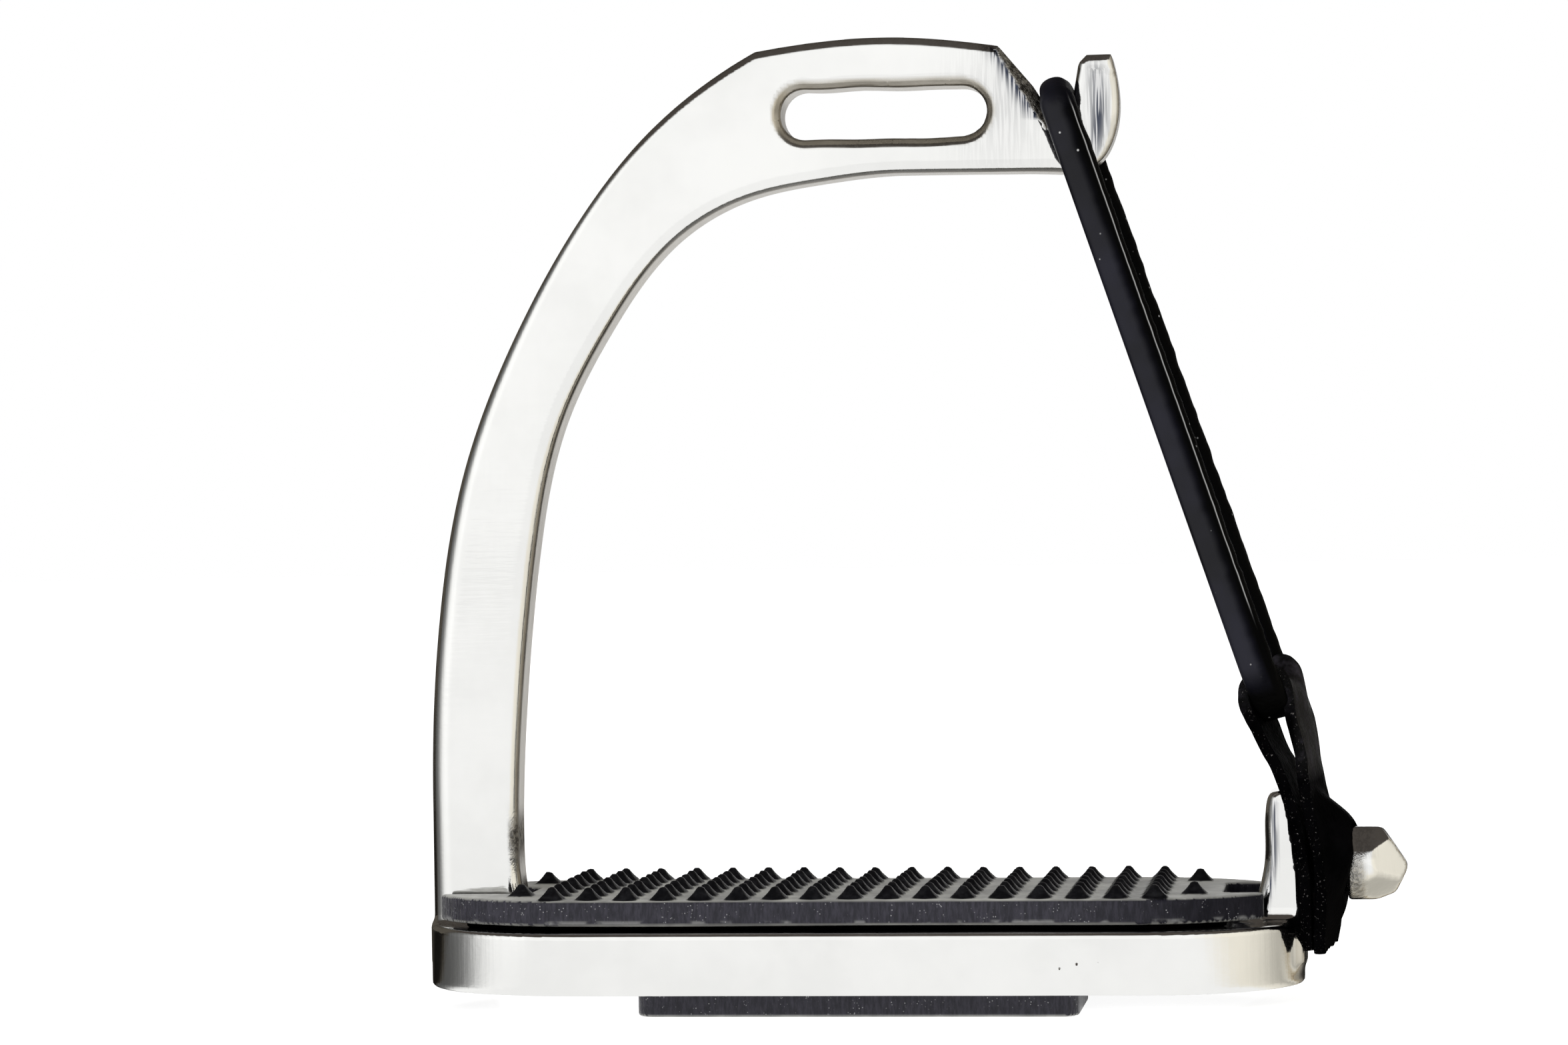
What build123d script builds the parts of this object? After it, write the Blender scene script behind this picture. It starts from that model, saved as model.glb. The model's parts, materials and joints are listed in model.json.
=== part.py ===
"""Peacock safety stirrup iron with a moulded tread pad, a rubber ring and a leather tab.

Millimetres, +Z up.  X runs along the tread, from the solid branch (-X) to the open, released side (+X).
Y runs through the foot opening.  The origin is on the flat underside of the pad's retaining lip,
below the middle of the tread, in the mid-plane of the iron.
"""
from math import atan2, cos, degrees, radians, sin
import os

from build123d import *

# Tread plate
tread_length = 142.0
tread_depth = 44.0
tread_thickness = 10.0
tread_end_length = 25.0
window_length = 66.0
window_depth = 21.0
window_corner = 4.0
bottom_chamfer = 0.6
casting_root = 6.0  # how high inside the tread the branch and the lug begin

# Branch, eye and hook, all heights above the underside of the tread
branch_thickness = 9.2
edge_round = 1.6
eye_length = 33.4
eye_height = 8.2
eye_x = 5.6
eye_z = 140.5
eye_round = 1.8
hook_thickness = 7.8
hook_round = 1.7
neck_x = 33.3  # middle of the line where the eye block runs into the neck of the hook

# Lug and stud that hold the leather tab
lug_depth = 14.0
lug_round = 1.2
stud_z = 18.9
stud_neck_radius = 3.9
stud_neck_start = 67.0
stud_head_start = 78.1
stud_head_radius = 5.95
stud_shoulder = 83.6
stud_tip = 87.5
stud_tip_radius = 1.6
stud_edge = 0.4
facet_centre = 81.6  # point on the stud's axis that the ground facets are measured from
stud_facets = [  # degrees round the axis, tilt away from the axis, distance from the facet centre
    (12, 62, 4.9), (75, 90, 5.55), (130, 62, 5.0), (200, 90, 5.6), (255, 64, 4.8), (318, 90, 5.5)]

# Tread pad
lip_drop = 4.3
lip_length = 71.0
lip_depth = 26.0
lip_corner = 3.0
plug_gap = 0.2
plug_lap = 0.05
foot_inset = 1.4
slab_bottom = 11.4
slab_top = 15.1
slab_left = -70.4
slab_right = 68.4
slab_depth = 41.0
branch_notch_x = -54.0
branch_notch_depth = 19.0
lug_notch_x = 58.4
lug_notch_depth = 19.0
stud_pitch = 6.0
pyramid_base = 4.6
pyramid_top = 0.9
pyramid_height = 2.0
pyramid_columns = 19
pyramid_rows = 7

# Rubber ring, in its own tilted plane
ring_width = 5.4
ring_thickness = 4.0
ring_bottom_x = 66.9
ring_bottom_z = 44.5
ring_top_x = 33.6
ring_top_z = 143.0
ring_bottom_half = 9.5
ring_top_half = 6.2
ring_bottom_corner = 8.2
ring_top_corner = 4.4
ring_edge_round = 0.5

# Leather tab
leather = 1.9
tab_x = 74.2
tab_turn = 5.5
tab_bottom = 5.8
tab_flex_z = 30.0
tab_flex_gap = 0.2
tab_bottom_width = 14.0
tab_stud_width = 22.0
tab_top_width = 14.0
tab_flex_width = 16.0
button_hole_radius = 4.2
collar_radius = 6.4
collar_height = 0.8
loop_gap = 0.25
loop_room = 1.1  # how much longer the hole of the fold is than the corner of the ring in it
loop_rise = 2.3  # middle of that hole above the lowest point of the ring's centreline

lift = lip_drop  # the underside of the tread above the origin


def side_plane():
    """Plane of the iron's profile: sketch X along +X and sketch Y up from the underside of the tread."""
    return Plane(origin=(0, 0, lift), x_dir=(1, 0, 0), z_dir=(0, -1, 0))


def face_plane(offset):
    """Plane of the tab's front view, offset outward: sketch X along the tab's width, sketch Y up."""
    turn = radians(tab_turn)
    outward = Vector(cos(turn), -sin(turn), 0)
    sideways = Vector(sin(turn), cos(turn), 0)
    return Plane(origin=Vector(tab_x, 0, lift) + outward * offset, x_dir=sideways, z_dir=outward)


def ring_plane():
    """Plane of the rubber ring: sketch X along Y and sketch Y from the tab up to the hook."""
    along = Vector(ring_top_x - ring_bottom_x, 0, ring_top_z - ring_bottom_z).normalized()
    across = Vector(0, 1, 0)
    return Plane(origin=(ring_bottom_x, 0, ring_bottom_z + lift), x_dir=across, z_dir=across.cross(along))


def oval(left, right, depth, end):
    """Closed outline from left to right: straight long sides with half-ellipse ends of the given length."""
    half = depth / 2
    EllipticalCenterArc((right - end, 0), end, half, start_angle=-90, arc_size=180)
    EllipticalCenterArc((left + end, 0), end, half, start_angle=90, arc_size=180)
    Line((left + end, -half), (right - end, -half))
    Line((left + end, half), (right - end, half))


def front_and_back(part, thickness):
    """Edges of the flat front and back faces of a body that is symmetrical about the XZ plane."""
    on_face = lambda edge: abs(abs(edge.center().Y) - thickness / 2) < 1e-3
    return part.edges().filter_by(on_face)


def round_eye(edge):
    """Whether an edge is on the rim of the eye."""
    away = edge.center() - Vector(eye_x, 0, lift + eye_z)
    return abs(away.X) < eye_length / 2 + 1 and abs(away.Z) < eye_height / 2 + 1


def make_bow():
    """Solid branch and eye block, up to where the ring passes the neck of the hook."""
    with BuildPart() as bow:
        with BuildSketch(side_plane()):
            with BuildLine():
                outer = Spline(
                    (-70.7, 30), (-69.2, 58.5), (-64.3, 84.2), (-54.8, 107.1),
                    (-45.1, 123.5), (-29.8, 141.1), (-15.2, 150.9),
                    tangents=[(0, 1), (1.7, 0.9)])
                top = ThreePointArc(outer @ 1, (5.0, 152.7), (24.2, 150.8))
                Polyline(top @ 1, (29.0, 144.9), (30.8, 142.0), (31.8, 138.8), (34.7, 130.4), (8.0, 130.7))
                inner = Spline(
                    (8.0, 130.7), (-5.0, 129.6), (-17.0, 127.2), (-28.6, 120.8), (-39.8, 106.9),
                    (-47.8, 91.6), (-52.6, 71.1), (-55.4, 45.3), (-56.3, 24),
                    tangents=[(-1, 0), (0, -1)])
                Polyline(inner @ 1, (-56.3, casting_root), (-70.7, casting_root), outer @ 0)
            make_face()
        extrude(amount=branch_thickness / 2, both=True)
        with BuildSketch(side_plane()):
            with Locations((eye_x, eye_z)):
                SlotOverall(eye_length, eye_height)
        extrude(amount=branch_thickness, both=True, mode=Mode.SUBTRACT)
        fillet(front_and_back(bow, branch_thickness).filter_by(round_eye), eye_round)
        at_root = lambda edge: edge.center().Z < lift + casting_root + 1
        at_neck = lambda edge: abs(edge.center().X - neck_x) < 0.5
        outside = lambda edge: not (round_eye(edge) or at_root(edge) or at_neck(edge))
        fillet(front_and_back(bow, branch_thickness).filter_by(outside), edge_round)
    return bow


def make_hook():
    """Neck that the ring passes over, and the upright prong that keeps it there."""
    with BuildPart() as hook:
        with BuildSketch(side_plane()):
            with BuildLine():
                Polyline((24.0, 131.6), (24.0, 137.2), (36.7, 141.6), (37.2, 147.6),
                         (38.6, 149.0), (42.3, 149.0))
                Spline((42.3, 149.0), (43.4, 143.5), (42.8, 136.2), (38.6, 130.9),
                       tangents=[(0.3, -1), (-1, -0.25)])
                Polyline((38.6, 130.9), (34.0, 130.4), (24.0, 131.6))
            make_face()
        extrude(amount=hook_thickness / 2, both=True)
        past_block = lambda edge: edge.center().X > neck_x - 3.2
        fillet(front_and_back(hook, hook_thickness).filter_by(past_block), hook_round)
    return hook


def make_lug():
    """Upright lug at the open end of the tread."""
    with BuildPart() as lug:
        with BuildSketch(side_plane()):
            with BuildLine():
                inner = Spline((61.6, tread_thickness), (63.9, 14.7), (65.1, 21.0), (65.7, 30.6),
                               tangents=[(1, 0.35), (0.3, 1)])
                Polyline(inner @ 1, (68.5, 30.6), (69.6, 20.0), (70.3, tread_thickness),
                         (70.3, casting_root), (61.6, casting_root), inner @ 0)
            make_face()
        extrude(amount=lug_depth / 2, both=True)
        corners = front_and_back(lug, lug_depth).filter_by(
            lambda edge: edge.center().Z > lift + tread_thickness)
        fillet(corners, lug_round)
    return lug


def make_stud():
    """Stud on the lug: a round neck and a blunt head that was ground to rough facets."""
    with BuildPart() as stud:
        with BuildSketch(side_plane()):
            with BuildLine():
                Polyline((stud_neck_start, stud_z), (stud_neck_start, stud_z + stud_neck_radius),
                         (stud_head_start, stud_z + stud_neck_radius),
                         (stud_head_start, stud_z + stud_head_radius - stud_edge),
                         (stud_head_start + stud_edge, stud_z + stud_head_radius),
                         (stud_shoulder, stud_z + stud_head_radius),
                         (stud_tip, stud_z + stud_tip_radius), (stud_tip, stud_z),
                         (stud_neck_start, stud_z))
            make_face()
        revolve(axis=Axis((0, 0, lift + stud_z), (1, 0, 0)))
        for around, tilt, reach in stud_facets:
            radial = Vector(0, cos(radians(around)), sin(radians(around)))
            normal = radial * sin(radians(tilt)) + Vector(1, 0, 0) * cos(radians(tilt))
            centre = Vector(facet_centre, 0, lift + stud_z)
            split(bisect_by=Plane(origin=centre + normal * reach, z_dir=normal), keep=Keep.BOTTOM)
    return stud


def make_iron():
    """The whole casting: tread, branch, eye, hook, lug and stud."""
    bow = make_bow()
    hook = make_hook()
    lug = make_lug()
    stud = make_stud()
    with BuildPart() as iron:
        with BuildSketch(Plane.XY.offset(lift)):
            with BuildLine():
                oval(-tread_length / 2, tread_length / 2, tread_depth, tread_end_length)
            make_face()
        extrude(amount=tread_thickness)
        with BuildSketch(Plane.XY.offset(lift)):
            RectangleRounded(window_length, window_depth, window_corner)
        extrude(amount=tread_thickness, mode=Mode.SUBTRACT)
        chamfer(iron.faces().sort_by(Axis.Z)[0].edges(), bottom_chamfer)
        for piece in (bow, hook, lug, stud):
            add(piece.part)
    return iron


def pad_outline(inset=0.0):
    """Plan of the pad's slab: follows the tread, with a notch for the branch and one for the lug."""
    with BuildSketch(Plane.XY.offset(lift + slab_bottom)) as plan:
        with BuildLine():
            oval(slab_left + inset, slab_right - inset, slab_depth - 2 * inset, tread_end_length - inset)
        make_face()
        left_length = branch_notch_x - slab_left + tread_end_length
        with Locations((branch_notch_x + inset - left_length / 2, 0)):
            Rectangle(left_length, branch_notch_depth + 2 * inset, mode=Mode.SUBTRACT)
        right_length = slab_right - lug_notch_x + tread_end_length
        with Locations((lug_notch_x - inset + right_length / 2, 0)):
            Rectangle(right_length, lug_notch_depth + 2 * inset, mode=Mode.SUBTRACT)
    return plan.sketch


def make_pad():
    """Moulded rubber tread pad: studded slab, stepped foot, plug through the window and retaining lip."""
    slab = pad_outline()
    foot = pad_outline(foot_inset)
    with BuildPart() as pad:
        extrude(slab, amount=slab_top - slab_bottom)
        extrude(foot, amount=tread_thickness - slab_bottom)
        with BuildSketch(Plane.XY.offset(lift - plug_lap)):
            RectangleRounded(window_length - 2 * plug_gap, window_depth - 2 * plug_gap, window_corner)
        extrude(amount=tread_thickness + 2 * plug_lap)
        with BuildSketch(Plane.XY):
            RectangleRounded(lip_length, lip_depth, lip_corner)
        extrude(amount=lip_drop)
        with BuildSketch(Plane.XY.offset(lift + slab_top)) as studs:
            with GridLocations(stud_pitch, stud_pitch, pyramid_columns - 2, pyramid_rows):
                Rectangle(pyramid_base, pyramid_base)
            end = stud_pitch * (pyramid_columns - 1) / 2
            with Locations((-end, -2 * stud_pitch), (-end, 2 * stud_pitch),
                           (end, -2 * stud_pitch), (end, 2 * stud_pitch)):
                Rectangle(pyramid_base, pyramid_base)
        slope = degrees(atan2((pyramid_base - pyramid_top) / 2, pyramid_height))
        extrude(amount=pyramid_height, taper=slope)
    return pad


def make_ring():
    """Cut rubber band that closes the open side, looped through the tab and over the hook."""
    length = ((ring_top_x - ring_bottom_x) ** 2 + (ring_top_z - ring_bottom_z) ** 2) ** 0.5
    with BuildPart() as ring:
        for grow, mode in ((ring_thickness / 2, Mode.ADD), (-ring_thickness / 2, Mode.SUBTRACT)):
            with BuildSketch(ring_plane()):
                with BuildLine():
                    Polyline((-ring_bottom_half, 0), (ring_bottom_half, 0), (ring_top_half, length),
                             (-ring_top_half, length), close=True)
                make_face()
                corners = vertices().sort_by(Axis.Y)
                fillet(corners[:2], ring_bottom_corner)
                fillet(vertices().sort_by(Axis.Y)[-2:], ring_top_corner)
                offset(amount=grow, mode=Mode.REPLACE)
            extrude(amount=ring_width / 2, both=True, mode=mode)
        fillet(ring.edges(), ring_edge_round)
    return ring


def make_lower_tab():
    """Two plies buttoned over the stud's neck, with the lip of the hole raised towards the stud's head."""
    top = tab_flex_z - tab_flex_gap
    with BuildPart() as tab:
        with BuildSketch(face_plane(-leather)):
            with BuildLine():
                right = ThreePointArc((tab_bottom_width / 2, tab_bottom), (tab_stud_width / 2, stud_z),
                                      (tab_flex_width / 2, top))
                left = ThreePointArc((-tab_bottom_width / 2, tab_bottom), (-tab_stud_width / 2, stud_z),
                                     (-tab_flex_width / 2, top))
                Line(right @ 0, left @ 0)
                Line(right @ 1, left @ 1)
            make_face()
        extrude(amount=2 * leather)
        with BuildSketch(face_plane(leather)):
            with Locations((0, stud_z)):
                Circle(collar_radius)
        extrude(amount=collar_height, taper=30)
        with BuildSketch(Plane.YZ.offset(tab_x)):
            with Locations((0, lift + stud_z)):
                Circle(button_hole_radius)
        extrude(amount=3 * leather, both=True, mode=Mode.SUBTRACT)
    return tab


def make_loop():
    """Upper part of the tab: the strip folded over the bottom of the ring, its plies meeting below."""
    lean = degrees(atan2(ring_bottom_x - ring_top_x, ring_top_z - ring_bottom_z))
    bar = ring_width / 2 + loop_gap
    length = ring_bottom_corner + loop_room
    middle = (ring_bottom_x - sin(radians(lean)) * loop_rise,
              ring_bottom_z + cos(radians(lean)) * loop_rise)
    foot = tab_flex_z + tab_flex_gap
    with BuildPart() as loop:
        with BuildSketch(side_plane()):
            with BuildLine():
                Polyline((69.9, foot), (66.9, 36.5), (64.0, 41.2), (66.2, 46.7), (71.0, 48.0), (73.0, 41.5),
                         (74.2, 35.0), (tab_x + leather, foot), close=True)
            make_face()
            with Locations(middle):
                RectangleRounded(2 * (bar + leather), length + 2 * leather, bar, rotation=lean)
            with Locations(middle):
                Rectangle(2 * bar, length, rotation=lean, mode=Mode.SUBTRACT)
            with BuildLine():
                Polyline((66.2, 42.2), (70.2, 43.4), (72.0, 33.5), close=True)
            make_face(mode=Mode.SUBTRACT)
        extrude(amount=tab_top_width / 2, both=True)
    return loop


os.makedirs("parts", exist_ok=True)

pieces = {
    "stirrup_iron": make_iron(),
    "tread_pad": make_pad(),
    "rubber_ring": make_ring(),
    "tab_buttoned_end": make_lower_tab(),
    "tab_loop_end": make_loop(),
}
for name, piece in pieces.items():
    piece.part.label = name
    export_step(piece.part, f"parts/{name}.step")
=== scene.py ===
"""Peacock safety stirrup iron, dressed for rendering around its CAD frame.

Shapes are worked out in millimetres, in the CAD frame: +X along the tread to the open side,
+Y through the foot opening, +Z up.  to_metres() turns them into Blender meshes.
"""
import json
from itertools import product
from math import atan2, cos, pi, radians, sin

import bmesh
import bpy
import numpy as np
from mathutils import Matrix, Vector
from mathutils.geometry import delaunay_2d_cdt


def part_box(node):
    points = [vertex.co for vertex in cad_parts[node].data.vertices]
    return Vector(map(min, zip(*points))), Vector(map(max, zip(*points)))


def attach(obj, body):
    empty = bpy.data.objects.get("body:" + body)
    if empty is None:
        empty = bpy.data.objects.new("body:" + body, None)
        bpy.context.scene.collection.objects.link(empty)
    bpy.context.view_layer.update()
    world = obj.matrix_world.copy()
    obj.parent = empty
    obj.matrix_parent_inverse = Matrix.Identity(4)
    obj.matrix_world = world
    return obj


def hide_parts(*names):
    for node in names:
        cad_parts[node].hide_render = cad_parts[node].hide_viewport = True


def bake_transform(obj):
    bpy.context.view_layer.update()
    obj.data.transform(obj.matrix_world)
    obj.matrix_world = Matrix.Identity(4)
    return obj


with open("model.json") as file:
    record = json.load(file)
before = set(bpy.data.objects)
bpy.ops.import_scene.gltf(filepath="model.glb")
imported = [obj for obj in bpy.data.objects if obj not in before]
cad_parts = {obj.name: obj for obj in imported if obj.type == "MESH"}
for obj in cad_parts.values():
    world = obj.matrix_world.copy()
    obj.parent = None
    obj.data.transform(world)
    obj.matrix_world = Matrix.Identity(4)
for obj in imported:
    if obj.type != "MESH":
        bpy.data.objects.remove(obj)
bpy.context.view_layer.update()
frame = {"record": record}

MM = 0.001
FAR = 1e12                              # larger than any squared distance in the scene


def node_box(name):
    """Lowest and highest corner of a CAD node in millimetres."""
    low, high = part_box(name)
    return np.array(low) / MM, np.array(high) / MM


iron_low, iron_high = node_box("stirrup_iron")
pad_low, pad_high = node_box("tread_pad")
lift = iron_low[2]                      # the underside of the tread
joints = {joint["name"]: joint for joint in frame["record"]["behaviour"]["joints"]}
stud_axis_z = joints["tab_turn"]["pos_m"][2] / MM

# A 104 mm lens about 0.73 m from the iron, level with its middle and a little to the right of it
CAMERA_AT = Vector((84.7, -727.0, 77.5 + lift)) * MM
CAMERA_YAW, CAMERA_PITCH, CAMERA_ROLL = 7.58, 0.22, -0.90
CAMERA_LENS, SENSOR = 103.64, 36.0


# ---------------------------------------------------------------- camera

def make_camera():
    data = bpy.data.cameras.new("camera")
    data.lens = CAMERA_LENS
    data.sensor_width = SENSOR
    data.clip_start, data.clip_end = 0.01, 50
    camera = bpy.data.objects.new("camera", data)
    bpy.context.scene.collection.objects.link(camera)
    yaw, pitch, roll = radians(CAMERA_YAW), radians(CAMERA_PITCH), radians(CAMERA_ROLL)
    look = Vector((-sin(yaw) * cos(pitch), cos(yaw) * cos(pitch), -sin(pitch)))
    level = Vector((cos(yaw), sin(yaw), 0))
    upright = level.cross(look)
    right = level * cos(roll) + upright * sin(roll)
    up = upright * cos(roll) - level * sin(roll)
    turn = Matrix((right, up, -look)).transposed()
    camera.matrix_world = Matrix.Translation(CAMERA_AT) @ turn.to_4x4()
    bpy.context.scene.camera = camera


make_camera()


# ---------------------------------------------------------------- outlines and distance fields

def cubic(points, start, end, step=0.8):
    """Smooth curve through points, leaving in direction start and arriving in direction end."""
    points = np.array(points, float)
    gaps = np.linalg.norm(np.diff(points, axis=0), axis=1)
    count = len(points)
    system = np.zeros((count, count))
    right = np.zeros((count, 2))
    system[0, 0] = system[-1, -1] = 1
    right[0] = np.array(start, float) / np.linalg.norm(start)
    right[-1] = np.array(end, float) / np.linalg.norm(end)
    for i in range(1, count - 1):
        before, after = gaps[i - 1], gaps[i]
        system[i, i - 1:i + 2] = after, 2 * (before + after), before
        slope_before = (points[i] - points[i - 1]) / before
        slope_after = (points[i + 1] - points[i]) / after
        right[i] = 3 * (after * slope_before + before * slope_after)
    slopes = np.linalg.solve(system, right)
    curve = []
    for i, gap in enumerate(gaps):
        t = np.linspace(0, 1, max(2, int(round(gap / step))) + 1)[:-1, None]
        curve.append((2 * t**3 - 3 * t**2 + 1) * points[i] + (t**3 - 2 * t**2 + t) * gap * slopes[i]
                     + (3 * t**2 - 2 * t**3) * points[i + 1] + (t**3 - t**2) * gap * slopes[i + 1])
    return np.vstack(curve + [points[-1:]])


def joined(*runs):
    """One outline from several runs of points, without doubled points."""
    points = np.vstack([np.array(run, float) for run in runs])
    keep = np.linalg.norm(points - np.roll(points, 1, axis=0), axis=1) > 1e-6
    return points[keep]


def gap_squared(x, y, start, run):
    """Squared distance from one straight edge, given its start and its run."""
    wx, wy = x - start[0], y - start[1]
    t = np.clip((wx * run[0] + wy * run[1]) / (run[0]**2 + run[1]**2), 0, 1)
    return (wx - run[0] * t)**2 + (wy - run[1] * t)**2


def polygon(x, y, outline):
    """Signed distance from a closed outline, negative inside."""
    nearest = np.full(np.broadcast(x, y).shape, FAR)
    inside = np.zeros(nearest.shape, bool)
    for start, end in zip(outline, np.roll(outline, -1, axis=0)):
        run = end - start
        np.minimum(nearest, gap_squared(x, y, start, run), out=nearest)
        if run[1]:
            crossing = run[0] * (y - start[1]) / run[1] + start[0]
            inside ^= ((start[1] <= y) != (end[1] <= y)) & (x < crossing)
    return np.where(inside, -1.0, 1.0) * np.sqrt(nearest)


def path_distance(x, y, path):
    """Distance from an open path."""
    nearest = np.full(np.broadcast(x, y).shape, FAR)
    for start, end in zip(path[:-1], path[1:]):
        np.minimum(nearest, gap_squared(x, y, start, end - start), out=nearest)
    return np.sqrt(nearest)


def both(a, b, radius):
    """What is inside both, with their meeting edge rounded."""
    u, v = a + radius, b + radius
    return np.minimum(np.maximum(u, v), 0) + np.hypot(np.maximum(u, 0), np.maximum(v, 0)) - radius


def either(a, b, fillet):
    """What is inside either, with a soft fillet where they meet."""
    h = np.clip(0.5 + 0.5 * (b - a) / fillet, 0, 1)
    return b * (1 - h) + a * h - fillet * h * (1 - h)


def without(a, b, fillet):
    """What is inside a and outside b, with a soft rim."""
    return -either(-a, b, fillet)


def ripple(x, y, z, size, seed):
    """Smooth random waves from -1 to 1, of about the given size."""
    draw = np.random.default_rng(seed)
    total = 0.0
    waves = 5
    for _ in range(waves):
        k = draw.normal(size=3)
        k *= 2 * pi / size / np.linalg.norm(k) * draw.uniform(0.7, 1.4)
        total = total + np.sin(k[0] * x + k[1] * y + k[2] * z + draw.uniform(0, 2 * pi))
    return total / waves


def bell(value, middle, width, power=2):
    """1 at the middle, falling smoothly to about a third one width away."""
    return np.exp(-((value - middle) / width)**power)


def eased(share):
    """0 to 1 with soft ends."""
    share = np.clip(share, 0, 1)
    return share**2 * (3 - 2 * share)


def jitter(draw, count, size=1.0):
    """Smoothed random offsets, for a ragged cut."""
    return size * np.convolve(draw.uniform(-1, 1, count + 4), [0.25, 0.5, 0.25], "same")[2:-2]


def run_along(path):
    """Distance along a path at each of its points."""
    return np.concatenate([[0], np.cumsum(np.linalg.norm(np.diff(path, axis=0), axis=1))])


def surface(field, low, high, step):
    """Quad mesh of the zero level of a distance field, one vertex to a crossed cell."""
    axes = [np.arange(low[i], high[i] + step, step) for i in range(3)]
    x, y, z = axes[0][:, None, None], axes[1][None, :, None], axes[2][None, None, :]
    values = field(x, y, z)
    inside = values < 0
    size = np.array(values.shape)
    corners = list(product((0, 1), repeat=3))
    filled = sum(inside[i:size[0] - 1 + i, j:size[1] - 1 + j, k:size[2] - 1 + k].astype(np.int8)
                 for i, j, k in corners)
    active = (filled > 0) & (filled < 8)
    cells = np.argwhere(active)
    index = np.full(active.shape, -1)
    index[active] = np.arange(len(cells))
    total, hits = np.zeros((len(cells), 3)), np.zeros(len(cells))
    for a, b in product(corners, repeat=2):
        if sum(b) - sum(a) != 1 or any(q < p for p, q in zip(a, b)):
            continue
        va = values[tuple((cells + a).T)]
        vb = values[tuple((cells + b).T)]
        crossed = (va < 0) != (vb < 0)
        t = va[crossed] / (va[crossed] - vb[crossed])
        total[crossed] += np.array(a) + t[:, None] * (np.array(b) - np.array(a))
        hits[crossed] += 1
    points = np.array(low) + step * (cells + total / hits[:, None])
    quads = []
    for axis in range(3):
        u, v = (axis + 1) % 3, (axis + 2) % 3
        first = np.take(inside, range(size[axis] - 1), axis)
        last = np.take(inside, range(1, size[axis]), axis)
        edges = np.argwhere(first != last)
        for side in (u, v):
            edges = edges[(edges[:, side] > 0) & (edges[:, side] < size[side] - 1)]
        eu, ev = np.eye(3, dtype=int)[u], np.eye(3, dtype=int)[v]
        quad = np.stack([index[tuple((edges - shift).T)] for shift in (0 * eu, eu, eu + ev, ev)], axis=1)
        outward = first[tuple(edges.T)]
        quad[~outward] = quad[~outward][:, ::-1]
        quads.append(quad)
    points = settle(field, points, step)
    return points, np.vstack(quads)


def settle(field, points, step, rounds=2):
    """Moves points onto the zero level along the field's slope, never more than half a cell at a time."""
    reach = 0.3 * step
    for _ in range(rounds):
        x, y, z = points.T
        value = field(x, y, z)
        slope = np.stack([field(x + reach, y, z) - value,
                          field(x, y + reach, z) - value,
                          field(x, y, z + reach) - value], axis=1) / reach
        shift = slope * (value / np.maximum((slope**2).sum(axis=1), 0.2))[:, None]
        points = points - np.clip(shift, -0.5 * step, 0.5 * step)
    return points


def to_metres(name, points, faces):
    """Mesh object from points in millimetres, linked to the scene."""
    mesh = bpy.data.meshes.new(name)
    mesh.from_pydata((np.asarray(points) * MM).tolist(), [], [list(map(int, face)) for face in faces])
    mesh.validate()
    mesh.polygons.foreach_set("use_smooth", [True] * len(mesh.polygons))
    piece = bpy.data.objects.new(name, mesh)
    bpy.context.scene.collection.objects.link(piece)
    return piece


def turn_outward(piece):
    """Makes all faces point out of the solid."""
    shell = bmesh.new()
    shell.from_mesh(piece.data)
    bmesh.ops.recalc_face_normals(shell, faces=shell.faces)
    shell.to_mesh(piece.data)
    shell.free()


def paint(piece, name, values):
    """Stores one number per vertex, for the piece's material to read."""
    layer = piece.data.attributes.new(name, "FLOAT", "POINT")
    layer.data.foreach_set("value", np.asarray(values, np.float32))


def read_normals(piece):
    """The vertex normals of a mesh object."""
    normals = np.empty(len(piece.data.vertices) * 3)
    piece.data.vertices.foreach_get("normal", normals)
    return normals.reshape(-1, 3)


# ---------------------------------------------------------------- materials

class Graph:
    """Writes nodes into a node tree, one call to a node."""

    def __init__(self, tree):
        self.tree = tree

    def add(self, kind, inputs=None, **settings):
        """A new node with its settings, and with what feeds its inputs, by name or number."""
        node = self.tree.nodes.new(kind)
        for key, value in settings.items():
            setattr(node, key, value)
        for name, value in (inputs or {}).items():
            self.feed(node.inputs[name], value)
        return node

    def feed(self, socket, value):
        if isinstance(value, bpy.types.NodeSocket):
            self.tree.links.new(value, socket)
        else:
            socket.default_value = value

    def span(self, value, low, high, to_low=0.0, to_high=1.0, kind="SMOOTHSTEP"):
        """How far a value has come from low to high, from 0 to 1 or between the two other ends."""
        inputs = dict(enumerate((value, low, high, to_low, to_high)))
        return self.add("ShaderNodeMapRange", inputs, interpolation_type=kind).outputs["Result"]

    def math(self, operation, a, b=0.0):
        return self.add("ShaderNodeMath", {0: a, 1: b}, operation=operation).outputs[0]

    def mix(self, factor, a, b, kind="MIX"):
        inputs = {place: (*value, 1.0) if isinstance(value, tuple) else value
                  for place, value in ((0, factor), (6, a), (7, b))}
        return self.add("ShaderNodeMix", inputs, data_type="RGBA", blend_type=kind).outputs[2]

    def layers(self, colour, *above):
        """A colour with others laid over it, each by its own mask."""
        for mask, other in above:
            colour = self.mix(mask, colour, other)
        return colour

    def ramp(self, value, stops):
        """Colours along a value from -1 to 1."""
        node = self.add("ShaderNodeValToRGB")
        self.feed(node.inputs["Fac"], self.span(value, -1.0, 1.0, kind="LINEAR"))
        elements = node.color_ramp.elements
        for place, colour in stops[1:-1]:
            elements.new((place + 1) / 2).color = (*colour, 1)
        for element, (place, colour) in zip((elements[0], elements[-1]), (stops[0], stops[-1])):
            element.position = (place + 1) / 2
            element.color = (*colour, 1)
        return node.outputs["Color"]


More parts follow.
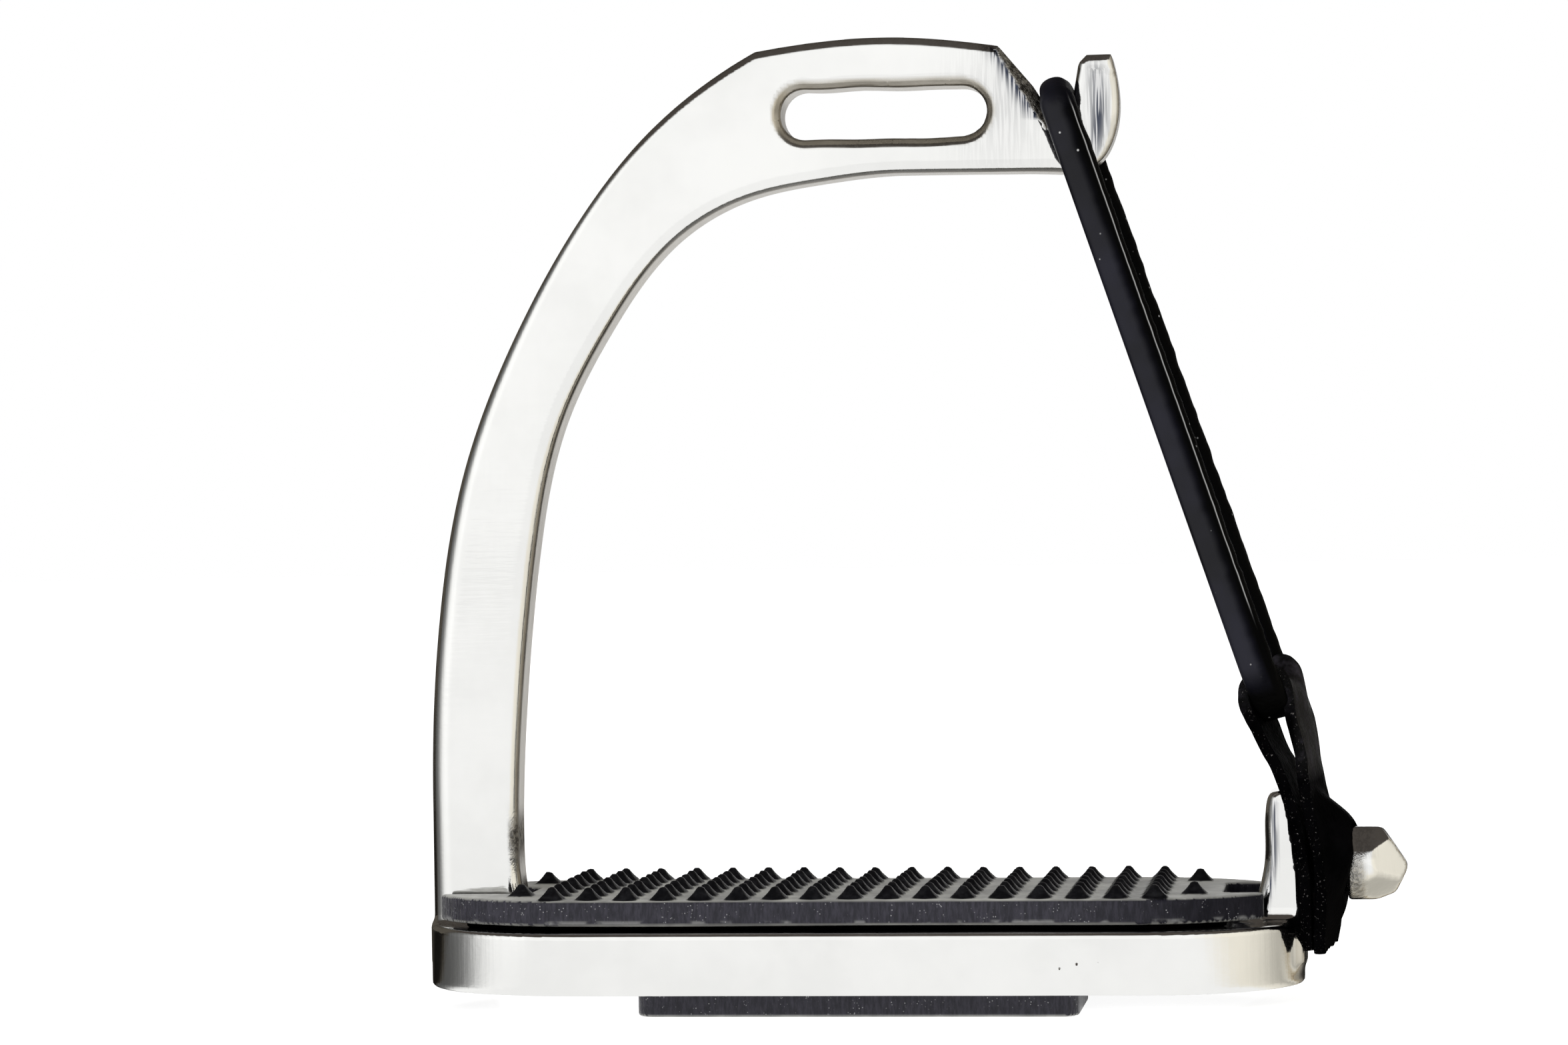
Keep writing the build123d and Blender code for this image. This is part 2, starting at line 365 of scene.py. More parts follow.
class Nodes(Graph):
    """Nodes of one material, around its Principled shader."""

    def __init__(self, name):
        self.material = bpy.data.materials.new(name)
        self.material.use_nodes = True
        super().__init__(self.material.node_tree)
        self.shader = next(node for node in self.tree.nodes if node.type == "BSDF_PRINCIPLED")
        self.place = self.add("ShaderNodeTexCoord").outputs["Object"]

    def stretched(self, x, y, z):
        """Object position scaled along each axis, for grain that runs one way."""
        return self.add("ShaderNodeMapping", {"Vector": self.place, "Scale": (x, y, z)}).outputs["Vector"]

    def noise(self, scale, detail=3.0, rough=0.5, place=None):
        inputs = {"Vector": place or self.place, "Scale": scale, "Detail": detail, "Roughness": rough}
        return self.add("ShaderNodeTexNoise", inputs).outputs["Fac"]

    def cells(self, scale, feature="F1"):
        inputs = {"Vector": self.place, "Scale": scale}
        return self.add("ShaderNodeTexVoronoi", inputs, feature=feature).outputs["Distance"]

    def attribute(self, name):
        return self.add("ShaderNodeAttribute", attribute_name=name).outputs["Fac"]

    def bumps(self, *reliefs):
        """Reliefs one upon another, each with its height, strength and distance."""
        below = {}
        for height, strength, distance in reliefs:
            inputs = {"Height": height, "Strength": strength, "Distance": distance, **below}
            below = {"Normal": self.add("ShaderNodeBump", inputs).outputs["Normal"]}
        return below["Normal"]

    def surface(self, **values):
        """Feeds the shader's sockets, words_like_this standing for a socket named Words Like This."""
        for key, value in values.items():
            self.feed(self.shader.inputs[key.replace("_", " ").title().replace("Ior", "IOR")], value)
        return self.material


def polished_steel():
    """Hand-ground and polished casting: bright faces, duller sides, brush marks with painted dark reflections
    and shade among them, a few pits.
    """
    n = Nodes("polished_steel")
    cast_side = n.attribute("cast_side")
    rough_cast = n.attribute("rough_cast")
    brush_and_shade = n.attribute("brushed")
    patches = n.noise(55.0, 4.0, 0.6)
    brushed = n.noise(1300.0, 2.0, 0.6, n.stretched(1.0, 1.0, 0.07))
    hatched = n.noise(2600.0, 1.0, 0.5, n.stretched(1.0, 1.0, 0.05))
    across = n.noise(1500.0, 2.0, 0.6, n.stretched(0.1, 1.0, 1.0))
    pebbles = n.noise(900.0, 4.0, 0.7)
    pits = n.math("MULTIPLY", n.span(n.cells(420.0), 0.13, 0.05), n.span(n.noise(38.0, 1.0), 0.70, 0.74))
    bright = n.mix(n.span(patches, 0.3, 0.7), (0.89, 0.89, 0.88), (0.95, 0.95, 0.94))
    # Blue-black of the brush marks, which also serves as painted dark reflection and painted shade
    streaks_and_painted_shade = n.mix(n.span(hatched, 0.43, 0.60), (0.045, 0.055, 0.085), (0.70, 0.70, 0.71))
    dull = n.mix(n.span(patches, 0.3, 0.7), (0.42, 0.39, 0.34), (0.60, 0.57, 0.51))
    raw = n.mix(n.span(pebbles, 0.35, 0.65), (0.05, 0.045, 0.04), (0.42, 0.40, 0.36))
    colour = n.layers(bright, (brush_and_shade, streaks_and_painted_shade), (cast_side, dull), (rough_cast, raw),
                      (pits, (0.08, 0.07, 0.06)))
    rough = n.math("ADD", n.span(patches, 0.35, 0.75, 0.06, 0.13), n.span(brushed, 0.4, 0.7, 0.0, 0.04))
    rough = n.math("ADD", rough, n.math("MULTIPLY", cast_side, 0.20))
    rough = n.math("ADD", rough, n.math("MULTIPLY", rough_cast, 0.30))
    normal = n.bumps((brushed, 0.08, 0.0002), (n.math("MULTIPLY", brushed, brush_and_shade), 0.30, 0.0003),
                     (across, 0.05, 0.0002), (n.math("MULTIPLY", pebbles, rough_cast), 0.9, 0.0008),
                     (n.math("SUBTRACT", 1.0, pits), 0.5, 0.0003))
    return n.surface(base_color=colour, metallic=1.0, roughness=rough, normal=normal)


def pad_rubber():
    """Moulded tread rubber: blue-grey cut sides, dusty lands painted light also for their grazing sheen,
    black studs with worn tips, painted shade under the slab.
    """
    n = Nodes("pad_rubber")
    stud = n.attribute("stud_height")
    side = n.attribute("cut_side")
    dust = n.noise(700.0, 4.0, 0.7)
    cloud = n.noise(120.0, 3.0, 0.6)
    cuts = n.noise(1700.0, 3.0, 0.7, n.stretched(1.0, 1.0, 0.22))
    speck_here = n.span(n.noise(500.0, 2.0), 0.50, 0.62)
    specks = n.math("MULTIPLY", n.math("MULTIPLY", n.span(n.cells(1900.0), 0.26, 0.12), speck_here), side)
    # Light grey lands: dust, painted lighter also to stand for their sheen where light grazes them
    top = n.mix(n.span(cloud, 0.35, 0.7), (0.22, 0.22, 0.21), (0.40, 0.40, 0.375))
    black = n.mix(n.span(dust, 0.4, 0.75), (0.0025, 0.0025, 0.0035), (0.010, 0.010, 0.012))
    # Painted shade: the foot under the slab is coloured black and loses its gloss
    slab_shade, toward_right_end = n.attribute("painted_shade_under_slab"), n.attribute("darker_right_end")
    flank = n.mix(n.span(cuts, 0.35, 0.72), (0.011, 0.0105, 0.017), (0.031, 0.029, 0.042))
    # Darker towards the right end of the slab's side
    flank = n.mix(toward_right_end, flank, (0.004, 0.004, 0.006))
    flash = n.math("MULTIPLY", n.attribute("low_edge"), n.span(n.noise(260.0, 3.0), 0.50, 0.62))
    colour = n.layers(top, (n.span(stud, 0.03, 0.25), black), (side, flank), (specks, (0.22, 0.22, 0.23)),
                      (flash, (0.20, 0.20, 0.20)), (slab_shade, (0.001, 0.001, 0.001)))
    dark = n.math("MAXIMUM", slab_shade, toward_right_end)
    gloss = n.math("MULTIPLY", n.span(stud, 0.03, 0.25, 1.0, 0.35), n.math("SUBTRACT", 1.0, dark))
    rough = n.span(dust, 0.3, 0.7, 0.34, 0.55)
    normal = n.bumps((dust, 0.22, 0.0003), (n.math("MULTIPLY", cuts, side), 0.5, 0.0005))
    return n.surface(base_color=colour, roughness=rough, normal=normal, sheen_roughness=0.35,
                     specular_ior_level=n.math("MULTIPLY", gloss, 0.30),
                     sheen_weight=n.math("MULTIPLY", gloss, 0.4))


def ring_rubber():
    """Cut black rubber band: soft bluish sheen, moulding ripples and specks of white dust, a painted
    highlight along one edge, and the dark cut edge with painted shade spread over the face's right side and
    the lower end.
    """
    n = Nodes("ring_rubber")
    smear = n.noise(60.0, 3.0, 0.6)
    grain = n.noise(1400.0, 3.0, 0.6)
    cut_edge_and_painted_shade = n.attribute("cut_edge_and_painted_shade")
    specks = n.math("MULTIPLY", n.span(n.cells(420.0), 0.10, 0.05), n.span(n.noise(160.0, 1.0), 0.42, 0.52))
    colour = n.mix(n.span(smear, 0.3, 0.7), (0.0030, 0.0030, 0.0050), (0.0090, 0.0090, 0.0170))
    white_of_dust_and_highlight = (0.42, 0.42, 0.42)
    line = n.math("POWER", n.attribute("painted_edge_highlight"), 3.5)
    # Darkened by the cut edge and by painted shade; a painted highlight line; white dust specks
    colour = n.layers(colour, (cut_edge_and_painted_shade, (0.0006, 0.0006, 0.0006)), (line, white_of_dust_and_highlight), (specks, white_of_dust_and_highlight))
    rough = n.math("ADD", n.span(smear, 0.3, 0.7, 0.30, 0.44), n.math("MULTIPLY", cut_edge_and_painted_shade, 0.22))
    normal = n.bumps((grain, 0.12, 0.0002), (n.math("MULTIPLY", n.noise(900.0, 2.0), cut_edge_and_painted_shade), 0.6, 0.0005))
    gloss = n.span(cut_edge_and_painted_shade, 0.0, 0.8, 0.24, 0.03)
    return n.surface(base_color=colour, roughness=rough, normal=normal, specular_ior_level=gloss)


def leather_material():
    """Black strap leather: fine grain, creases at the fold, raw fibrous edges, lighter worn patches on the
    fold and the outer face that also stand in as painted sheen.
    """
    n = Nodes("black_leather")
    edge = n.attribute("raw_edge")
    fold = n.attribute("fold")
    grain = n.cells(900.0, feature="DISTANCE_TO_EDGE")
    wrinkle = n.noise(230.0, 4.0, 0.65)
    fibres = n.noise(2600.0, 3.0, 0.7)
    colour = n.mix(n.span(wrinkle, 0.3, 0.7), (0.0004, 0.0004, 0.0005), (0.0016, 0.0015, 0.0018))
    # Lighter patches: wear, and painted sheen on the fold and the outer face
    worn = n.math("MULTIPLY", fold, n.span(wrinkle, 0.48, 0.72))
    hairs = n.math("MULTIPLY", edge, n.span(fibres, 0.63, 0.72))
    colour = n.layers(colour, (worn, (0.020, 0.018, 0.024)), (hairs, (0.16, 0.15, 0.145)))
    rough = n.math("ADD", n.span(wrinkle, 0.3, 0.7, 0.42, 0.58), n.math("MULTIPLY", edge, 0.3))
    normal = n.bumps((n.span(grain, 0.0, 0.25), 0.28, 0.0002), (wrinkle, 0.35, 0.0006),
                     (n.math("MULTIPLY", fibres, edge), 0.8, 0.0006))
    return n.surface(base_color=colour, roughness=rough, normal=normal,
                     specular_ior_level=n.span(fold, 0.0, 0.8, 0.004, 0.14))


def floor_material():
    """White studio floor, bright enough in itself to swallow the shadows."""
    n = Nodes("pale_floor")
    tone = n.mix(n.span(n.noise(3.0, 2.0), 0.3, 0.7), (0.33, 0.33, 0.33), (0.36, 0.36, 0.36))
    return n.surface(base_color=tone, roughness=0.6, emission_color=(1.0, 1.0, 1.0, 1.0),
                     emission_strength=0.88)


# ---------------------------------------------------------------- the iron

TREAD_THICKNESS = 10.0
TREAD_END = 25.0                        # length of the tread's half-ellipse ends
WINDOW_HALF_LENGTH, WINDOW_HALF_DEPTH = 33.0, 10.5
BRANCH_THICKNESS = 9.2
OUTER_ROUNDING = ([20, 60, 105, 135], [4.1, 3.8, 2.6, 1.7])     # of the branch's edges, against height
INNER_ROUNDING = ([70, 120], [2.4, 1.7])
EYE_X, EYE_Z = 5.6, 140.5
EYE_HALF_LENGTH, EYE_RADIUS = 12.6, 4.1
SLOPE_AT, SLOPE_FACING = (29.4, 144.6), (0.86, 0.51)            # the ground end of the eye block
HOOK_THICKNESS = 7.8
GROOVE_X, GROOVE_Z, GROOVE_BEND = 40.6, 141.0, 0.012            # hollow ground down the prong's faces
LUG_DEPTH = 14.0
STUD_X, STUD_SHOULDER, STUD_TIP = 78.1, 83.6, iron_high[0]
STUD_RADIUS, NECK_RADIUS = 5.85, 3.9
IRON_STEP = 0.55                        # size of the mesher's cells


def oval(left, right, depth, end, count=56):
    """Outline with straight long sides and half-ellipse ends."""
    half = depth / 2
    angles = np.linspace(-pi / 2, pi / 2, count)
    right_end = np.stack([right - end + end * np.cos(angles), half * np.sin(angles)], axis=1)
    left_end = np.stack([left + end - end * np.cos(angles), -half * np.sin(angles)], axis=1)
    return joined(right_end, left_end)


BRANCH_OUTER = cubic([(-70.7, 30), (-69.2, 58.5), (-64.3, 84.2), (-54.8, 107.1), (-45.1, 123.5),
                      (-29.8, 141.1), (-15.2, 150.9)], (0, 1), (1.7, 0.9))


def bow_outline():
    """Branch and eye block, seen from the front."""
    top = cubic([(-15.2, 150.9), (5.0, 152.7), (24.2, 150.8)], (1, 0.16), (1, -0.16))
    slope = [SLOPE_AT, (31.3, 141.6), (32.4, 138.2), (35.8, 130.4)]
    inner = cubic([(8.0, 130.7), (-5.0, 129.6), (-17.0, 127.2), (-28.6, 120.8), (-39.8, 106.9),
                   (-47.8, 91.6), (-52.6, 71.1), (-55.3, 45.3), (-56.2, 24), (-55.9, 17.0), (-54.2, 10.5)],
                  (-1, 0), (0.5, -1))
    return joined(BRANCH_OUTER, top, slope, inner, [(-54.2, 4), (-70.7, 4)])


def hook_outline():
    """Neck and prong, seen from the front."""
    prong = cubic([(42.3, 149.0), (43.4, 143.5), (42.8, 136.2), (38.6, 130.9)], (0.3, -1), (-1, -0.25))
    left = [(24.0, 131.6), (24.0, 137.2), (36.0, 141.6), (36.7, 145.5), (37.1, 147.7), (38.4, 149.0)]
    return joined(left, prong, [(34.0, 130.4)])


def lug_outline():
    """The upright lug, seen from the front."""
    inner = cubic([(61.2, 9.0), (63.6, 13.5), (64.9, 19.4), (65.3, 28.7), (66.2, 30.6)], (1, 0.5), (1, 0.6))
    return joined(inner, [(67.6, 30.9), (68.6, 30.4), (70.1, 20.0), (70.8, 10.0), (70.8, 4), (61.2, 4)])


IRON_SHAPES = {
    "tread": oval(iron_low[0], -iron_low[0], iron_high[1] - iron_low[1], TREAD_END),
    "bow": bow_outline(),
    "hook": hook_outline(),
    "lug": lug_outline(),
}

# Planes that the stud's head was ground to: direction round the axis and tilt from it, both in degrees, and
# distance from the head's middle
STUD_FACETS = [(12, 66, 5.3), (75, 84, 5.75), (128, 84, 5.35), (170, 50, 4.6), (228, 72, 4.9), (300, 80, 5.5),
               (90, 32.7, 5.0), (270, 26.6, 5.68), (270, 69, 5.83)]


def stud_field(x, y, z):
    """Round neck and ground head on the axis of the tab's button hole."""
    up = z - stud_axis_z + lift
    away = np.hypot(y, up)
    neck = both(away - NECK_RADIUS, np.abs(x - 73) - 6, 0.3)
    head = both(away - STUD_RADIUS, np.maximum(STUD_X - x, x - STUD_TIP), 0.5)
    cone = (np.hypot(y, up + 0.4) - STUD_RADIUS) * 0.74 + (x - STUD_SHOULDER) * 0.66 - 0.2
    head = both(head, cone, 0.4)
    for around, tilt, reach in STUD_FACETS:
        around, tilt = radians(around), radians(tilt)
        side = y * cos(around) + up * sin(around)
        plane = side * sin(tilt) + (x - STUD_SHOULDER + 2) * cos(tilt) - reach
        head = both(head, plane, 0.25)
    return either(neck, head, 0.8)


def tread_field(x, y, z):
    """Plate with a window through it."""
    plate = both(polygon(x, y, IRON_SHAPES["tread"]), np.maximum(-z, z - TREAD_THICKNESS), 0.7)
    window = both(np.abs(x) - WINDOW_HALF_LENGTH, np.abs(y) - WINDOW_HALF_DEPTH, 0.0)
    return both(plate, -window, 0.4)


def bow_field(x, y, z):
    """Branch and eye block, with worn rims round the eye and along the slope."""
    beside = np.abs(y) - BRANCH_THICKNESS / 2
    from_outer = path_distance(x, z, np.vstack([[(-70.7, 4)], BRANCH_OUTER]))
    outer, inner = np.interp(z, *OUTER_ROUNDING), np.interp(z, *INNER_ROUNDING)
    rounding = inner + (outer - inner) * np.clip((8.5 - from_outer) / 3.0, 0, 1)
    bow = both(polygon(x, z, IRON_SHAPES["bow"]), beside, rounding)
    eye = np.hypot(np.maximum(np.abs(x - EYE_X) - EYE_HALF_LENGTH, 0), z - EYE_Z) - EYE_RADIUS
    eye = eye - 0.28 * ripple(x, 0 * y, z, 13.0, 14)
    bow = both(bow, -eye, 0.0)
    bow = np.maximum(bow, (beside - eye) * 0.6 + 0.75)
    past_slope = (x - 28.0) * SLOPE_FACING[0] + (z - 145.7) * SLOPE_FACING[1] - 0.9
    return np.maximum(bow, (past_slope + beside) * 0.7 + 1.5)


def hook_field(x, y, z):
    """Neck and prong; the prong is bevelled on its outer side and hollowed down its faces."""
    beside = np.abs(y) - HOOK_THICKNESS / 2
    outline = polygon(x, z, IRON_SHAPES["hook"])
    hook = both(outline, beside, 1.5)
    bevel = outline * 0.62 + beside * 0.78 + 0.95 - 6 * np.clip((z - 146.0) / 2.5, 0, 1)
    hook = np.where(x > 38.5, both(hook, bevel, 0.3), hook)
    groove = np.hypot(x - GROOVE_X + GROOVE_BEND * (z - GROOVE_Z)**2, (beside - 1.3) * 1.4) - 2.5
    return without(hook, np.maximum(groove, np.abs(z - 139.5) - 7.0), 0.6)


def lug_field(x, y, z):
    """Upright lug, rounder on its inner side, with the stud."""
    rounding = np.interp(x, [65.5, 68.0], [2.3, 0.4])
    lug = both(polygon(x, z, IRON_SHAPES["lug"]), np.abs(y) - LUG_DEPTH / 2, rounding)
    return either(lug, stud_field(x, y, z), 1.5)


def iron_field(x, y, z):
    """The whole casting, heights measured from the underside of the tread."""
    solid = either(either(tread_field(x, y, z), bow_field(x, y, z), 1.4), lug_field(x, y, z), 2.4)
    solid = either(solid, hook_field(x, y, z), 0.8)
    return np.maximum(solid + 0.04 * ripple(x, y, z, 22.0, 3), iron_low[0] - x)


def dull_sides(x, z, across):
    """How far each point keeps its cast side, the eye's rim or the tread's end, which were polished less."""
    sides = np.clip((across - 0.72) / 0.22, 0, 1) * np.clip((z - 8) / 9, 0, 1) * (x < 60)
    in_eye = (np.abs(x - EYE_X) < EYE_HALF_LENGTH + 6.5) & (np.abs(z - EYE_Z) < EYE_RADIUS + 2.3)
    rim = np.clip((across - 0.25) / 0.3, 0, 1) * in_eye
    end_face = 0.45 * (x > 69.6) * (z < TREAD_THICKNESS - 0.4)
    return np.maximum(np.maximum(sides, rim), end_face)


def raw_places(x, y, z, normals):
    """Rough cast metal: the ground slope, a pit at the branch's foot and the stud's front by the leather."""
    slope = (x > 24) & (x < 34) & (z > 137) & (normals[:, 0] > 0.35) & (np.abs(normals[:, 1]) < 0.93)
    pit = bell(x, -56.5, 2**0.5) * bell(z, 24, 8**0.5) * (normals[:, 0] > 0.3)
    stud = 0.75 * bell(x, 79.2, 1.5, 4) * bell(z, 16.8, 3.6, 4) * (y < -2)
    return np.clip(slope + pit + stud, 0, 1)


def brush_marks_and_painted_shade(x, y, z):
    """Dark brush marks on the slope, the eye block, the prong, the stud and the lug, with painted dark
    reflections on the eye block and down the prong's hollow and painted shade on the lug's inner rounding.
    """
    past_slope = (x - SLOPE_AT[0]) * SLOPE_FACING[0] + (z - SLOPE_AT[1]) * SLOPE_FACING[1]
    marks = bell(past_slope, -1.8, 1.5) * (z > 139) * (x < 34)
    # Painted blue-grey reflection over the eye block's upper right
    marks += 0.22 * bell(x, 25, 60**0.5) * bell(z, 141, 60**0.5)
    # Brush marks down the prong's hollow, with a painted dark reflection in them
    marks += bell(x + GROOVE_BEND * (z - GROOVE_Z)**2, 40.3, 1.5) * bell(z, 140.0, 7.3, 4) * (x > 37)
    marks += 0.25 * bell(x, 80.6, 1.7, 4) * (z > 20)
    inside_lug = -polygon(x, z, IRON_SHAPES["lug"])
    # Painted shade along the lug's inner rounding
    marks += bell(inside_lug, 1.55, 0.5) * (x > 62) * (x < 67.2) * (z > 12) * (np.abs(y) > 4)
    return np.clip(marks, 0, 1)


def make_iron():
    low = iron_low - np.array([2, 2, 2 + lift])
    high = iron_high + np.array([2, 2, 2 - lift])
    points, quads = surface(iron_field, low, high, IRON_STEP)
    x, y, z = points.T.copy()
    points[:, 2] += lift
    piece = to_metres("iron_casting", points, quads)
    normals = read_normals(piece)
    paint(piece, "cast_side", dull_sides(x, z, np.hypot(normals[:, 0], normals[:, 2])))
    paint(piece, "rough_cast", raw_places(x, y, z, normals))
    # Brush marks, painted dark reflections and painted shade
    paint(piece, "brushed", brush_marks_and_painted_shade(x, y, z))
    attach(piece, "iron")
    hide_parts("stirrup_iron")
    piece.data.materials.append(polished_steel())


# ---------------------------------------------------------------- the tread pad

SLAB_BOTTOM, SLAB_TOP = 10.95, 15.1
SLAB_LEFT, SLAB_RIGHT, SLAB_DEPTH = -69.9, 68.4, 41.0
FOOT_INSET = 2.6
BRANCH_NOTCH, BRANCH_NOTCH_DEPTH = -54.0, 12.6
LUG_NOTCH, LUG_NOTCH_DEPTH = 58.4, 19.0
PLUG_HALF_LENGTH, PLUG_HALF_DEPTH = 32.8, 10.3
LIP_HALF_LENGTH, LIP_HALF_DEPTH = 35.5, 13.0
STUD_PITCH, STUD_BASE, STUD_TIP_WIDTH, STUD_HEIGHT = 6.0, 4.6, 0.9, 2.0
STUD_COLUMNS, STUD_ROWS = 8, 3          # to each side of the middle, with two more studs past each end
PAD_STEP = 0.45                         # size of the mesher's cells


def rounded_box(x, y, half_x, half_y, corner):
    """Signed distance from a rectangle with rounded corners."""
    return both(np.abs(x) - half_x, np.abs(y) - half_y, corner)


def pad_plan(x, y):
    """Plan of the slab: rounded ends, a notch round the branch and one round the lug."""
    plan = polygon(x, y, oval(SLAB_LEFT, SLAB_RIGHT, SLAB_DEPTH, TREAD_END))
    past_end = 20.0
    branch = rounded_box(x - BRANCH_NOTCH + past_end, y, past_end, BRANCH_NOTCH_DEPTH / 2, 2.2)
    lug = rounded_box(x - LUG_NOTCH - past_end, y, past_end, LUG_NOTCH_DEPTH / 2, 2.2)
    return without(without(plan, branch, 1.6), lug, 1.6)


def stud_rise(x, y):
    """Height of the pyramid studs above the slab: flanks a little hollow, tips blunt."""
    column = np.round(x / STUD_PITCH)
    row = np.round(y / STUD_PITCH)
    grid = (np.abs(row) <= STUD_ROWS) & (np.abs(column) <= STUD_COLUMNS)
    there = grid | ((np.abs(column) == STUD_COLUMNS + 1) & (np.abs(row) == 2))
    seed = np.sin(column * 12.9 + row * 78.2) * 43758.5
    wobble = seed - np.floor(seed)
    across = np.abs(x - column * STUD_PITCH - 0.12 * (wobble - 0.5))
    along = np.abs(y - row * STUD_PITCH + 0.12 * (wobble - 0.5))
    out = np.maximum(across, along) + 0.10 * np.minimum(across, along)
    slope = np.clip((STUD_BASE / 2 - out) / ((STUD_BASE - STUD_TIP_WIDTH) / 2), 0, 1)
    height = STUD_HEIGHT * (0.97 + 0.06 * wobble)
    return np.where(there, height * (0.72 * slope + 0.28 * slope**2.6), 0.0)


def pad_field(x, y, z):
    """Slab with studs, stepped foot, plug through the window and retaining lip."""
    plan = pad_plan(x, y)
    sag = 0.12 * ripple(x, y, 0 * z, 60.0, 11)
    rise = stud_rise(x, y)
    slab = both(plan, np.maximum(SLAB_BOTTOM + sag - z, (z - SLAB_TOP - sag)), 0.45)
    studs = np.maximum((z - SLAB_TOP - sag - rise) * 0.75, SLAB_TOP - 1 - z)
    studs = np.maximum(studs, 0.6 - rise * 4)
    slab = np.minimum(slab, np.maximum(studs, plan + 0.8))
    foot = np.maximum(plan + FOOT_INSET, np.maximum(TREAD_THICKNESS - z, z - SLAB_BOTTOM - 0.6))
    plug = rounded_box(x, y, PLUG_HALF_LENGTH, PLUG_HALF_DEPTH, 4.0)
    plug = np.maximum(plug, np.maximum(-0.2 - z, z - TREAD_THICKNESS - 0.4))
    lip = both(rounded_box(x, y, LIP_HALF_LENGTH, LIP_HALF_DEPTH, 3.0), np.maximum(-lift - z, z), 0.5)
    return np.minimum(np.minimum(slab, foot), np.minimum(plug, lip))


def make_pad():
    low = pad_low - np.array([1.5, 1.5, 1.5 + lift])
    high = pad_high + np.array([1.5, 1.5, 1.5 - lift])
    points, quads = surface(pad_field, low, high, PAD_STEP)
    x, y, z = points.T.copy()
    points[:, 2] += lift
    piece = to_metres("tread_pad_moulding", points, quads)
    below_top = z < SLAB_TOP - 0.1
    paint(piece, "stud_height", np.where(z > SLAB_TOP - 0.6, stud_rise(x, y), 0.0))
    paint(piece, "cut_side", (np.abs(read_normals(piece)[:, 2]) < 0.6) & below_top)
    # Painted shade on the foot under the slab
    paint(piece, "painted_shade_under_slab", (z > 0.5) & (z < SLAB_BOTTOM + 0.1))
    # Darker and less glossy towards the right end of the slab's side; the foot below the slab goes with it
    paint(piece, "darker_right_end", 0.75 * np.clip((x - 36) / 20, 0, 1) * (z + lift > SLAB_BOTTOM) * below_top)
    paint(piece, "low_edge", bell(z, SLAB_BOTTOM + 0.45, 0.3))
    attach(piece, "iron")
    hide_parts("tread_pad")
    piece.data.materials.append(pad_rubber())


# ---------------------------------------------------------------- the rubber ring

RING_BOTTOM = np.array([67.0, 44.1])
RING_TOP = np.array([33.4, 143.6])
RING_LENGTH = np.linalg.norm(RING_TOP - RING_BOTTOM)
RING_WIDTH, RING_THICKNESS = 5.4, 4.0
RING_LEAN, RING_ROLL = radians(3.5), radians(5.0)
RING_HALF_BOTTOM, RING_HALF_TOP = 9.5, 6.7
RING_CORNER_BOTTOM, RING_CORNER_TOP = 8.2, 4.4


def ring_centreline(step=0.7):
    """Closed centreline in the ring's own plane: across it (Y) and from the tab up to the hook."""
    corners = [(-RING_HALF_BOTTOM, 0, RING_CORNER_BOTTOM), (RING_HALF_BOTTOM, 0, RING_CORNER_BOTTOM),
               (RING_HALF_TOP, RING_LENGTH, RING_CORNER_TOP), (-RING_HALF_TOP, RING_LENGTH, RING_CORNER_TOP)]
    points = []
    for i, (cx, cy, radius) in enumerate(corners):
        corner = np.array([cx, cy])
        before = np.array(corners[i - 1][:2]) - corner
        after = np.array(corners[(i + 1) % 4][:2]) - corner
        before, after = before / np.linalg.norm(before), after / np.linalg.norm(after)
        half_angle = np.arccos(before @ after) / 2
        middle = (before + after) / np.linalg.norm(before + after)
        centre = corner + middle * radius / sin(half_angle)
        start = corner + before * radius / np.tan(half_angle) - centre
        end = corner + after * radius / np.tan(half_angle) - centre
        first, last = atan2(start[1], start[0]), atan2(end[1], end[0])
        turn = (last - first + pi) % (2 * pi) - pi
        angles = first + turn * np.linspace(0, 1, 16)
        points.append(centre + radius * np.stack([np.cos(angles), np.sin(angles)], axis=1))
    outline = np.vstack(points + [points[0][:1]])
    run = run_along(outline)
    places = np.arange(0, run[-1], step)
    return np.stack([np.interp(places, run, outline[:, 0]), np.interp(places, run, outline[:, 1])], axis=1)


